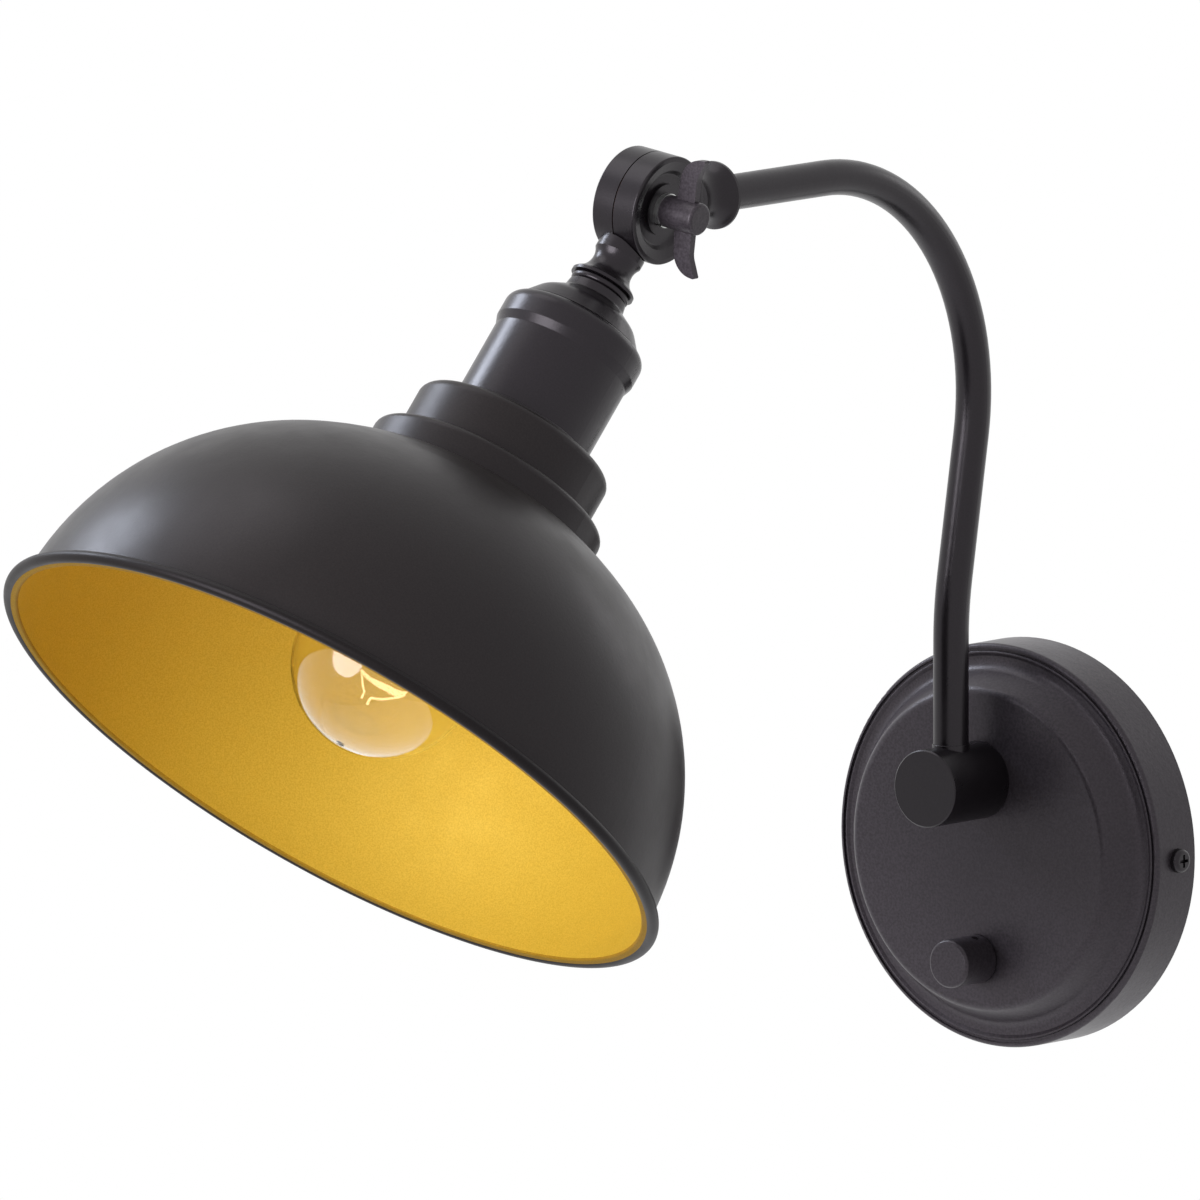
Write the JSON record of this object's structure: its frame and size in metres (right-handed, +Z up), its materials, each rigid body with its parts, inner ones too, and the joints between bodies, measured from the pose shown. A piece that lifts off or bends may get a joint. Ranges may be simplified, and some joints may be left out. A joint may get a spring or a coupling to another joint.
{
  "type": "wall lamp",
  "caption": "Wall lamp: round canopy, bent tube arm, swivel clamped by a wing nut, half-round metal shade under a spun cup, clear screw-in bulb and a turn knob.",
  "frame": {"origin": "centre of the round canopy in the plane of the wall, midway between the two wall screw slots", "axes": "+Z up, +Y into the wall, +X to the right as seen from the room; the arm leaves towards -Y"},
  "size_m": [0.2131, 0.3845, 0.2831],
  "materials": {
    "black_metal": "near-black powder coat, fine texture, satin",
    "shade_paint": "satin near-black outside, satin gold inside",
    "zinc_steel": "zinc plated",
    "brass": "plain brass",
    "holder_plastic": "black thermoset, satin",
    "block_plastic": "natural nylon",
    "switch_plastic": "dark thermoset",
    "fibre": "vulcanised fibre",
    "flex_sheath": "black cable sheath",
    "wire_sheath": "brown wire insulation",
    "earth_sheath": "green and yellow insulation",
    "bulb_envelope": "clear glass",
    "stem_glass": "clear glass",
    "bulb_metal": "bright nickel",
    "bulb_black_glass": "black glass",
    "tungsten": "drawn wire"
  },
  "bodies": {
    "wall_base": {"canopy": "black_metal", "wall_bracket": "zinc_steel", "canopy_screws": "black_metal", "terminal_block": "block_plastic", "terminal_screws": "brass", "block_fixing_screw": "zinc_steel", "earth_screw": "brass", "earth_tag": "brass", "earth_wire": "earth_sheath", "switch_wires": "wire_sheath", "switch_body": "switch_plastic", "switch_nut": "zinc_steel", "boss_nipple": "brass", "boss_washer": "zinc_steel", "boss_nut": "zinc_steel", "arm_boss": "black_metal", "arm_tube": "black_metal", "arm_swivel": "black_metal", "arm_cable": "flex_sheath"},
    "dimmer_knob": {"switch_shaft": "brass", "knob": "black_metal", "knob_grub_screw": "zinc_steel"},
    "head": {"head_swivel": "black_metal", "friction_ring": "fibre", "swivel_bolt": "black_metal", "neck_ring": "black_metal", "cup_cap": "black_metal", "holder_cup": "black_metal", "neck_nipple": "brass", "neck_nut": "zinc_steel", "lamp_holder": "holder_plastic", "screw_shell": "brass", "centre_contact": "brass", "shade_ring": "holder_plastic", "shade": "shade_paint", "head_cable": "flex_sheath", "bulb_glass": "bulb_envelope", "bulb_cap": "bulb_metal", "bulb_insulator": "bulb_black_glass", "bulb_contact": "bulb_metal", "bulb_stem": "stem_glass", "bulb_filament": "tungsten"},
    "clamp_washers": {"clamp_washer": "zinc_steel", "spring_washer": "zinc_steel"},
    "wing_nut": {"wing_nut": "black_metal"}
  },
  "joints": [
    {"name": "head_tilt", "type": "hinge", "parent": "wall_base", "child": "head", "pos_m": [0, -0.1808, 0.2062], "axis": [0.9903, 0, -0.1392], "range_deg": [-100, 40]},
    {"name": "dimmer_turn", "type": "hinge", "parent": "wall_base", "child": "dimmer_knob", "pos_m": [0, -0.0345, -0.0326], "axis": [0, 1, 0], "range_deg": [0, 270]},
    {"name": "nut_travel", "type": "slide", "parent": "head", "child": "clamp_washers", "axis": [0.9903, 0, -0.1392], "range_m": [0, 0.001]},
    {"name": "nut_turn", "type": "hinge", "parent": "clamp_washers", "child": "wing_nut", "pos_m": [0, -0.1808, 0.2062], "axis": [0.9903, 0, -0.1392], "range_deg": [0, 366.7]}
  ],
  "couplings": [
    {"joint": "nut_turn", "follows": "nut_travel", "rad_per_m": 6283.2}
  ]
}
